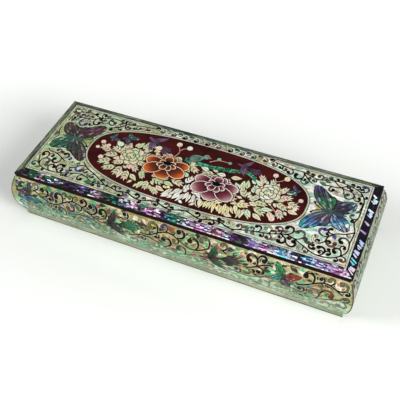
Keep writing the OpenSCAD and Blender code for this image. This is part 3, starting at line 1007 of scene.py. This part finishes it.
def draw_bush(shell, ink, ground, rng, centre, reach, tints, tries=1600):
    """Leaves packed round a centre, which they point away from."""
    drawn = 0
    for attempt in range(tries):
        turn, share = rng.uniform(0, tau), sqrt(rng.random())
        across, up = reach[0] * share * cos(turn), reach[1] * share * sin(turn)
        heading = atan2(up, across) + rng.uniform(-0.4, 0.4)
        kind = next(kind for kind in BUSH_LEAVES if attempt < kind[0] * tries)
        lengths, most_bend, width, gap, vein = kind[1:]
        length, bend = rng.uniform(*lengths), rng.uniform(-most_bend, most_bend)
        leaf = (centre[0] + across, centre[1] + up, heading, length, bend)
        if kind is FEATHERED:
            spine, lobes = spray_of(*leaf)
        else:
            spine = straight(*leaf, 7)
            lobes = [spine]
        if all(ground.free(lobe[1:]) for lobe in lobes):
            layer = 0.3 * (drawn % 10)
            tint = rng.choice(tints)
            draw_line(shell, spine[:-1], 0.3, 0.2, tint, layer)
            for lobe in lobes:
                ground.mark(lobe, gap)
                draw_leaflet(shell, ink, lobe, width, [tint, rng.choice(tints)], LEAF_LINE, layer, 0.2, vein)
            drawn += 1


def draw_fringe(shell, ink, ground, rng, start, end, headings, tints):
    """Long leaves side by side along a line, whose headings and tints change from its start to its end."""
    count = int(dist(start, end) / 2.7)
    for k in range(count):
        share = (k + 0.5) / count
        u, v = mix(start, end, share)
        heading = radians(headings[0] + (headings[1] - headings[0]) * share + rng.uniform(-22, 22))
        v += rng.uniform(-2.5, 2.5)
        path = straight(u, v, heading, rng.uniform(8.0, 13.0), rng.uniform(-0.5, 0.5), 9)
        path = [point for point in path if oval_share(*point, -FRINGE_MARGIN) < 1]
        ground.mark(path, 1.3)
        tint = mix(ramp(tints, share), rng.choice(tints), 0.3)
        draw_leaflet(shell, ink, path, rng.uniform(1.3, 1.9), [mix(tint, LEAF_LINE, 0.15), tint], LEAF_LINE,
                     0.3 * (3 * k % 8), 0.3, 0.16)


def in_medallion(u, v):
    """Ground for leaves: inside the oval and clear of the flowers and the bird."""
    if oval_share(u, v, -BUSH_MARGIN) > 1 or v > BUSH_TOP + 4 * cos(u / 9):
        return False
    return all(((u - cu) / a) ** 2 + ((v - cv) / b) ** 2 > 1 for cu, cv, a, b in FLOWER_GROUND)


def draw_bud(shell, ink, u, v, radius, tint, layer=3.3):
    shell.disc(u, v, radius, tint, layer, mix(tint, WHITE, 0.4))
    draw_line(ink, [(u, v - radius * 0.7), (u, v + radius * 0.2)], 0.14, 0.06, BROWN, layer + 0.1)


def draw_tail(shell, rng):
    """The bird's long waving tail of barbed feathers."""
    for k in range(3):
        path = smooth([(u, v + 1.7 * sin(1.1 * i + tau * k / 3)) for i, (u, v) in enumerate(TAIL)])
        widths = [0.85 - 0.45 * i / len(path) + rng.uniform(-0.2, 0.2) for i in range(len(path))]
        shell.strip(path, widths, [ramp(TAIL_TINTS, rng.random()) for point in path], 0.3 * k)
        for u, v, heading in roots_of(path, 3):
            for side in (-1, 1):
                turn = heading + side * rng.uniform(0.3, 0.8)
                barb = straight(u, v, turn, rng.uniform(1.0, 3.4), -side * 0.5, 6)
                draw_leaf(shell, barb, 0.45, [TAIL_TINTS[0], ramp(TAIL_TINTS, rng.random())], 1 + 0.1 * k)


def make_medallion():
    rng = random.Random(29)
    shell = Inlay("medallion_flowers", lid_top, "lid", PETAL_SHELL, "field_shell")
    ink = Inlay("medallion_lines", lid_top, "lid", INK_LACQUER, "field_shell")
    ground = Ground(in_medallion)
    for fringe in FRINGES:
        draw_fringe(shell, ink, ground, rng, *fringe)
    for bush in BUSHES:
        draw_bush(shell, ink, ground, rng, *bush)
    draw_small_flower(shell, ink, placed(*LEFT_FLOWER_AT, 0, 1.0, 0.95),
                      (LEAF, CREAM, mix(MINT, LEAF, 0.6), CREAM))
    draw_small_flower(shell, ink, placed(*RIGHT_FLOWER_AT, 20, 1.0, 0.95),
                      (mix(MINT, CREAM, 0.5), PALE, LEAF, CREAM))
    draw_peony(shell, ink, placed(*ORANGE_AT, 3, 1.0, 0.88), ORANGE)
    draw_peony(shell, ink, placed(*MAUVE_AT, -4, 1.0, 0.92), MAUVE)
    for twig in TWIGS:
        draw_line(shell, smooth(twig), 0.42, 0.26, rgb("cc9c8c"), 3)
    for bud in BUDS:
        draw_bud(shell, ink, *bud)
    draw_tail(shell, rng)
    draw_figures(shell, ink, PERCHED_BIRD, rgb("18201e"))
    draw_figures(shell, ink, DUSKY_FIGURES, rgb("281622"))
    shell.build()
    ink.build()


# Lid: strips of dark shell on the bevels

SLATE = shades("242828 343636 161618 484e4a")
NIGHT = shades("2c1836 40204c 1a1424 5a346c")
FOREST = shades("143a2c 225840 122420 42805c")
SEA = shades("10605c 249688 123842 5acebe")
VIOLET = shades("644a96 9072c2 3a2a62 c4b0e8")
MAGENTA = shades("924c8c c67ebe 5a2456 ecc0e6")
ROSE = shades("b45474 de94aa 6e243c f4d2dc")
ICE = shades("d6dcf4 b2c2e8 7478a4 f6f2fc")
AQUA = shades("36a0d2 7ed6ec 1c4a8c dcf6fc")
BLUSH = shades("f2cae2 e098ce 96588e fcecf6")
MOSS = shades("586a4e 748666 44543c 92a27c")
PINE = shades("546256 6e786a 3e4a40 869280")
PITCH = shades("0c0810 140e1a 0a0c10 1e1628")

# Palettes along the front bevel from left to right; the bright ones that crowd its right half partly paint
# the light's reflection there
FRONT_BEVEL = (
    SLATE, SLATE, FOREST, BLUSH, FOREST, ICE, SLATE, NIGHT, SLATE, VIOLET, FOREST, BLUSH, SLATE, FOREST, SEA,
    ICE, BLUSH, FOREST, MAGENTA, BLUSH, NIGHT, SEA, FOREST, ICE, BLUSH, MAGENTA, ICE, ROSE, ICE, NIGHT, SLATE,
    VIOLET, ICE, MAGENTA, ICE, AQUA, ICE, NIGHT, AQUA, VIOLET, ICE, MAGENTA, BLUSH, ICE)
BACK_BEVEL = (MOSS, PINE, MOSS, FOREST, MOSS, PINE)
LEFT_BEVEL = (MOSS, MOSS, PINE, MOSS)
# Bright slanting pieces as (where they start, how many, tint)
RIGHT_SLASHES = (
    (-50, 3, BLUSH[0]), (-41, 2, AQUA[1]), (-33, 3, ICE[0]), (-24, 4, ICE[1]), (-6, 1, VIOLET[1]),
    (4, 1, LILAC), (13, 4, ICE[0]), (29, 4, AQUA[3]))
# Lengths of strips, and how much brighter or darker than its palette a strip can be
SHORT = (1.2, 5.0)
LONG = (5.0, 22.0)
VARIED = (0.05, 0.25, 0.6, 1.1, 1.7)
CALM = (0.1, 0.5, 0.85, 1.05, 1.35)
# How much brighter the lowest row is where it paints a highlight along the edge
EDGE_HIGHLIGHT = 1.6
# Rows of strips, a strip's half-width as a share of its row, the gap between strips and the shortest one
STRIP_ROWS, STRIP_HALF, STRIP_GAP, STRIP_LEAST = 7, 0.44, 0.14, 0.6
# Bare margins along the edges of a bevel and at its mitred ends
BEVEL_MARGIN, BEVEL_END = 0.35, 0.4


def make_bevel(side, seed, bands, lengths, glows, highlight_from=1.0, slashes=()):
    """Rows of thin strips of random lengths and glows; each band is the palette of its share of the edge.

    Past the share highlight_from, the lowest row is a light line along the edge: a painted highlight.
    """
    rng = random.Random(seed)
    strips = Inlay("bevel_strips_" + side, bevel_chart(side), "lid", STRIP_SHELL, "bevel_shell")
    half = side_sizes(side)[1]
    step = (BEVEL_RUN - 2 * BEVEL_MARGIN) / STRIP_ROWS
    for row in range(STRIP_ROWS):
        v = BEVEL_MARGIN + (row + 0.5) * step
        limit = half - v - BEVEL_END
        u = -limit
        while u < limit - STRIP_LEAST:
            share = (u + half) / (2 * half)
            band = bands[min(int(share * len(bands) + rng.uniform(-0.5, 0.5)), len(bands) - 1)]
            end = min(u + rng.uniform(*lengths), limit)
            glow = rng.choice(glows)
            if row == 0 and share > highlight_from:
                glow = EDGE_HIGHLIGHT
            tints = [tuple(min(c * glow, 1.0) for c in rng.choice(band)) for tip in (0, 1)]
            strips.strip([(u, v), (end, v)], [step * STRIP_HALF] * 2, tints)
            u = end + STRIP_GAP
    for u, count, tint in slashes:
        for k in range(count):
            low, high = rng.uniform(0.06, 0.4), rng.uniform(0.55, 0.94)
            place = u + 2.3 * k + rng.uniform(-0.6, 0.6)
            spine = [(place, BEVEL_RUN * low), (place + rng.uniform(0.8, 3.0), BEVEL_RUN * high)]
            strips.strip(spine, [rng.uniform(0.5, 1.4), rng.uniform(0.3, 1.0)],
                         [tint, mix(tint, rng.choice((CYAN, WHITE, ICE[1])), 0.6)], 1)
    strips.build()


# Walls: vines, leaves and figures on the swelling sides

# Bare margins below the rim, wider on the back wall where the open lid comes close, above the foot and at
# the ends
RIM_MARGIN, BACK_MARGIN, FOOT_MARGIN, END_MARGIN = 2.6, 4.0, 1.4, 1.8
# Half-widths of the dark line under the rim, a border that also paints the lid's shadow on the wall, and of
# the lines along the mitred ends
RIM_SHADE_LINE, MITRE_LINE = 0.7, 0.4
# Stems as (place up the swell, height and length of their waves, phase for each unit of the seed)
WALL_STEMS = ((10.0, 5.0, 47.0, 0.9), (-2.0, 5.0, 61.0, 2.0), (-15.0, 3.5, 53.0, 0.5))
# Chips are green ones in a band about the belly, misty ones below it and mixed ones above, where the
# near-white ones partly stand for glints of light: painted highlights
LONG_WALL = {
    "stroke": 1.3, "inks": shades("221c14 2e1a12 1a221a 261a1c 1e1c16"),
    "fills": [None] * 6 + shades("6c6240 526044 762e24 245c44 463e62 786e34"),
    "leaves": shades("288c56 3cb07e aa4c3c c85060 463a60 184030 2e221c"),
    "halos": shades("cec296 ece4ca b0c896 e2c6aa cecc82"),
    "greens": shades("24a062 46c892 1c6e4c 3caaac 78d89c 288c6e ce8082 96ce78"),
    "mist": shades("92f0c4 4cda9c fcfff8 467c5a fcf6e8 c4f4ba 5adeba f6fff4 549c74"),
    "chips": shades("d8c898 c6c08c f0e8d2 a4a868 8a9c66 3c3424 222018 283e26 503424 1e2a1e 32241c c45654 "
                    "54b470 46a068 cec44a d48c74 1c221a fcf6e4 82d6a0 faf0d0 f4e2be"),
}
# The end walls' chips are pale and muted, partly a painted sheen where light grazes these walls
END_CHIPS = shades("96ac92 aaac8e a0b4aa b0a8a0")
END_WALL = {
    "stroke": 1.0, "inks": shades("2c362a 383e32 28342a"), "fills": [None],
    "leaves": shades("60886e 829478 788268"), "halos": shades("a8ac92 b4b8a2"),
    "greens": END_CHIPS, "mist": END_CHIPS, "chips": END_CHIPS,
}
# A pale green that tints fade towards low on a wall: partly the shell's own colour there, partly a painted
# reflection of the table
LOW_PALE_AND_REFLECTION = rgb("a8d0ac")
# Where the low part of a wall starts and how far down it is wholly low, the belly's green band and its share
LOW_FROM, LOW_RUN = 2.0, 14.0
GREEN_FROM, GREEN_TO, GREEN_SHARE = -6.0, 8.0, 0.45
# Patches of warm and of cool shell low on a long wall
WALL_BLOOMS = palettes("e8e2b4 f0d6c8 cecea0 fafaea", "56d6b0 78e2ce 38b096 a0f0dc")
# Cool chips at the left of the front wall: where they start, their share there, and the run that brings all
COOL_CHIPS = shades("164c88 1e78a8 188a5c 182c24 2ec296 94942a 20261c")
COOL_FROM, COOL_SHARE, COOL_RUN = -60, 0.4, 140

DUSK_BUTTERFLY = palettes("1e1c22 504c54", "0e3842 329696", "281828 78506e", "162c5a 4682be", "1e1c22")
LEAF_BUTTERFLY = palettes("0c3824 32aa60", "3c1012 c43832", "14323c 3cbeaa", "241c28 6e5a78", "0c3824")
DARK_BIRD = palettes("222424 544e4c", "161a1e 464a4e", "18322c 3caa78")
RED_BIRD = palettes("3c1622 963c54", "1a221e 327854", "1e1a1e 605458")
FRONT_FIGURES = (
    (draw_butterfly, (-146, 6, 30, 13), DUSK_BUTTERFLY), (draw_bird, (-56, 5, 192, 19), DARK_BIRD),
    (draw_bird, (42, 3, 194, 19), RED_BIRD), (draw_butterfly, (104, 7, 70, 14), LEAF_BUTTERFLY))
BACK_FIGURES = (
    (draw_bird, (-80, 5, 20, 20), DARK_BIRD), (draw_butterfly, (0, 5, 90, 14), LEAF_BUTTERFLY),
    (draw_bird, (80, 5, 160, 20), RED_BIRD))


def wall_limit(side, v):
    """How far along a wall its mitred end lies at a height on the swell."""
    return side_sizes(side)[1] + BELLY - SWELL_R * (1 - cos(v / SWELL_R))


def low_share(v):
    """How far down a wall a place is, from 0 at the belly to 1 near the foot."""
    return min(max((LOW_FROM - v) / LOW_RUN, 0.0), 1.0)


# Low on a wall a tint fades towards pale green: partly the shell's paler colour, partly a painted reflection
# of the table on the low belly
def paled_and_reflected(tint, v):
    return mix(tint, LOW_PALE_AND_REFLECTION, 0.6 * low_share(v))


def pick_chip(rng, side, look, u, v):
    """The tint of a chip by its place."""
    if side == "front" and u < COOL_FROM and rng.random() < COOL_SHARE + (COOL_FROM - u) / COOL_RUN:
        return rng.choice(COOL_CHIPS)
    drift = sin(u / 8.0) + sin(u / 21.0 + 1.7) - u / 120
    if look is LONG_WALL and low_share(v) > 0.35 and abs(drift) > 0.9:
        return rng.choice(WALL_BLOOMS[drift > 0])
    if GREEN_FROM < v < GREEN_TO and rng.random() < GREEN_SHARE:
        return rng.choice(look["greens"])
    return rng.choice(look["mist"] if rng.random() < low_share(v) else look["chips"])


def draw_chips(shell, inside, rng, tries, side, look):
    """Leaf-shaped chips of shell laid close together; low ones are long, thin and level."""
    ground = Ground(inside)
    for attempt in range(tries):
        u, v = rng.uniform(-HALF_L, HALF_L), rng.uniform(-SWELL_HALF, SWELL_HALF)
        level = low_share(v)
        lean = 0.9 - 0.65 * level
        length = rng.uniform(3.5, 9.5 + 3.0 * level)
        path = straight(u, v, rng.uniform(-lean, lean), length, rng.uniform(-0.7, 0.7), 8)
        if ground.free(path):
            ground.mark(path, 1.0)
            tint = pick_chip(rng, side, look, u, v)
            draw_leaf(shell, path, (0.25 - 0.11 * level) * length, [mix(tint, INK, 0.25), tint])


def make_wall(side, seed, look, figures=()):
    """A wall's inlay: chips, hairlines, the vine with its leaves, and the figures."""
    rng = random.Random(seed)
    ink = Inlay("wall_vine_" + side, wall_chart(side), "box", INK_LACQUER, "wall_shell")
    shell = Inlay("wall_leaves_" + side, wall_chart(side), "box", TINTED_SHELL, "wall_shell")
    top = SWELL_HALF - (BACK_MARGIN if side == "back" else RIM_MARGIN)
    foot = -SWELL_HALF + FOOT_MARGIN

    def on_wall(u, v):
        return foot < v < top and abs(u) < wall_limit(side, v) - END_MARGIN

    ground = Ground(on_wall)
    draw_figures(shell, ink, figures, INK)
    ground.mark_inlay((shell, ink), 1.6)
    end = wall_limit(side, top) - 5
    stems = [wave(-end, end, v, height, length, turn * seed) for v, height, length, turn in WALL_STEMS]
    stems = [run for stem in stems for run in ground.runs(stem)]
    for stem in stems:
        ground.mark(stem, 2.3 * look["stroke"])
    tries = int(10 * end) + 400
    rounds = ((21, 18, 15), tries, 1.6, (6.0, 10.0)), ((12, 10, 8), 4 * tries, 1.3, (4.0, 8.0))
    commas = []
    leaves = grow_rounds(ground, stems, commas, rng, look["stroke"], tries, rounds)
    draw_chips(shell, on_wall, rng, 20 * tries, side, look)
    for attempt in range(int(0.6 * end)):
        u, v = rng.uniform(-end, end), rng.uniform(foot, top)
        heading = rng.choice((0, pi)) + rng.uniform(-0.5, 0.5)
        path = straight(u, v, heading, rng.uniform(8, 22), rng.uniform(-1.2, 1.2), 14)
        if all(on_wall(*point) for point in path):
            draw_line(ink, path, 0.45, 0.12, paled_and_reflected(rng.choice(look["inks"]), v), 0.2)
    draw_vines(shell, ink, stems, commas, leaves, rng, look, paled_and_reflected)
    # A dark line under the rim, a border that also paints the lid's shadow on the wall, except at the back,
    # where the open lid comes close; and dark lines along the mitred ends
    if side != "back":
        reach = wall_limit(side, SWELL_HALF) - RIM_SHADE_LINE
        path = wave(-reach, reach, SWELL_HALF - RIM_SHADE_LINE, 0.0, 1.0, 0.0, 10.0)
        draw_line(ink, path, RIM_SHADE_LINE, RIM_SHADE_LINE, rgb("22140e"))
    for way in (-1, 1):
        path = [(way * (wall_limit(side, v) - 0.5), v) for v in (SWELL_HALF * k / 10 for k in range(-10, 10))]
        draw_line(ink, path, MITRE_LINE, MITRE_LINE, rgb("603e2c"))
    ink.build()
    shell.build()


# Velvet cards inside

# A card's rounded border, how far it falls as a share of the thickness, the places of its rows as shares of
# its width, and the distance of the rows inside it
SOFT_EDGE = 3.0 * MM
SOFT_FALL = 0.55
SOFT_ROWS = (0.0, 0.06, 0.16, 0.32, 0.55, 1.0)
CARD_ROW = 0.02


def card_rows(span):
    near = [SOFT_EDGE * s for s in SOFT_ROWS]
    count = max(int(span / CARD_ROW), 1)
    middle = [SOFT_EDGE + (span - 2 * SOFT_EDGE) * k / count for k in range(1, count)]
    return near + middle + [span - s for s in reversed(near)]


def make_velvet(node, body, axis, side):
    """A padded card in a lining's place; axis is its thin one and side the one it shows."""
    low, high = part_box(node)
    a, b = (flat for flat in (0, 1, 2) if flat != axis)
    width, length, thick = high[a] - low[a], high[b] - low[b], high[axis] - low[axis]
    across, along = card_rows(width), card_rows(length)
    rows, columns = len(across), len(along)
    points, faces = [], []
    for p in across:
        for q in along:
            edge = min(p, width - p, q, length - q) / SOFT_EDGE
            fall = 1 - sqrt(max(1 - (1 - min(edge, 1.0)) ** 2, 0.0))
            for height in (thick * (1 - SOFT_FALL * fall), 0.0):
                point = [0.0, 0.0, 0.0]
                point[a], point[b] = low[a] + p, low[b] + q
                point[axis] = low[axis] + height if side > 0 else high[axis] - height
                points.append(point)

    def top(i, j):
        """The index of a point on the padded face; the next one is below it."""
        return 2 * (columns * i + j)

    for i in range(rows - 1):
        for j in range(columns - 1):
            quad = (top(i, j), top(i + 1, j), top(i + 1, j + 1), top(i, j + 1))
            faces += [quad, (quad[0] + 1, quad[3] + 1, quad[2] + 1, quad[1] + 1)]
    border = [top(i, 0) for i in range(rows)] + [top(rows - 1, j) for j in range(1, columns)]
    border += [top(i, columns - 1) for i in range(rows - 2, -1, -1)]
    border += [top(0, j) for j in range(columns - 2, 0, -1)]
    faces += [(p, p + 1, q + 1, q) for p, q in zip(border, border[1:] + border[:1])]
    mesh = bpy.data.meshes.new(node + "_velvet")
    mesh.from_pydata(points, [], faces)
    work = bmesh.new()
    work.from_mesh(mesh)
    bmesh.ops.recalc_face_normals(work, faces=work.faces)
    for face in work.faces:
        face.smooth = True
    work.to_mesh(mesh)
    work.free()
    mesh.materials.append(VELVET)
    card = add_object(node + "_velvet", mesh)
    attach(card, body)
    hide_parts(node)


make_field()
make_medallion()
make_bevel("front", 3, FRONT_BEVEL, SHORT, VARIED, 0.45)
make_bevel("back", 5, BACK_BEVEL, LONG, CALM)
make_bevel("left", 7, LEFT_BEVEL, LONG, CALM)
make_bevel("right", 9, (PITCH,), SHORT, VARIED, 1.0, RIGHT_SLASHES)
make_wall("front", 2, LONG_WALL, FRONT_FIGURES)
make_wall("back", 4, LONG_WALL, BACK_FIGURES)
make_wall("left", 6, END_WALL)
make_wall("right", 8, END_WALL)
for lining in (("floor_lining", "box", 2, 1), ("front_lining", "box", 1, 1), ("back_lining", "box", 1, -1),
               ("left_lining", "box", 0, 1), ("right_lining", "box", 0, -1), ("lid_liner", "lid", 2, -1)):
    make_velvet(*lining)


# Stage, light and camera, in metres

FLOOR_REACH = 4.0
FLOOR_COLOUR = (0.87, 0.886, 0.86, 1.0)
# The oval about the box within which the floor doesn't glow, and where its glow starts and is full
GLOW_OVAL = {"Location": (0.033, -0.005, 0.0), "Rotation": (0.0, 0.0, 0.15), "Scale": (2.8, 1.0, 1.0)}
GLOW_FROM, GLOW_FULL = 0.08, 0.55
# Lamps as (name, place, width and height, power)
LAMPS = (("softbox_left", (-1.0, -0.55, 0.75), (0.7, 0.7), 10.2),
         ("softbox_right", (1.05, -0.45, 0.75), (0.7, 0.7), 18.8),
         ("softbox_top", (0.0, 0.1, 1.5), (1.2, 0.7), 5.0))
ROOM_LIGHT = 0.012
CAMERA_PLACE_MM = (179.26, -387.14, 499.38)
CAMERA_TURN_DEG = (42.1426, 1.1583, 23.1792)
CAMERA_LENS, CAMERA_SENSOR = 61.2, 36.0


def background_rays(nodes):
    """One for rays that should meet a white background: from the camera, or off a gloss or through glass."""
    total = nodes.add("LightPath", "Is Camera Ray", {})
    rays = total.node
    for kind in ("Is Glossy Ray", "Is Transmission Ray"):
        total = nodes.add("Math", 0, {0: total, 1: rays.outputs[kind]}, operation="ADD", use_clamp=True)
    return total


def make_floor():
    """A white table that glows like the background, except near the box."""
    mesh = bpy.data.meshes.new("floor")
    corners = [(x * FLOOR_REACH, y * FLOOR_REACH, 0) for x, y in ((-1, -1), (1, -1), (1, 1), (-1, 1))]
    mesh.from_pydata(corners, [], [(0, 1, 2, 3)])
    floor = add_object("floor", mesh)
    nodes = Nodes(bpy.data.materials.new("white_table"))
    oval = nodes.add("Mapping", "Vector", {"Vector": nodes.add("TexCoord", "Object", {}), **GLOW_OVAL},
                     vector_type="TEXTURE")
    away = nodes.add("VectorMath", "Value", {0: oval}, operation="LENGTH")
    fade = nodes.add("MapRange", "Result", {"Value": away, "From Min": GLOW_FROM, "From Max": GLOW_FULL})
    glow = nodes.add("Math", 0, {0: background_rays(nodes), 1: fade}, operation="MULTIPLY")
    mesh.materials.append(nodes.show({
        "Base Color": FLOOR_COLOUR, "Roughness": 0.9, "Specular IOR Level": 0.0,
        "Emission Color": grey(1.0), "Emission Strength": glow}))
    floor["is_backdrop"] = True


def make_light():
    for name, place, size, power in LAMPS:
        lamp = bpy.data.lights.new(name, "AREA")
        lamp.shape = "RECTANGLE"
        lamp.size, lamp.size_y = size
        lamp.energy = power
        holder = add_object(name, lamp)
        holder.location = place
        holder.rotation_euler = (-holder.location).to_track_quat("-Z", "Y").to_euler()
    nodes = Nodes(bpy.data.worlds.new("studio"), "Background")
    seen = background_rays(nodes)
    level = nodes.add("MapRange", "Result", {"Value": seen, "To Min": ROOM_LIGHT, "To Max": 1.0})
    bpy.context.scene.world = nodes.show({"Color": grey(1.0), "Strength": level})


def make_camera():
    camera = bpy.data.cameras.new("camera")
    camera.lens = CAMERA_LENS
    camera.sensor_width = CAMERA_SENSOR
    holder = add_object("camera", camera)
    holder.location = [c * MM for c in CAMERA_PLACE_MM]
    holder.rotation_euler = [radians(a) for a in CAMERA_TURN_DEG]
    bpy.context.scene.camera = holder


make_floor()
make_light()
make_camera()
bpy.context.scene.view_settings.view_transform = "Standard"

[[list(corner) for corner in box] for box in (cad_box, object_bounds())]
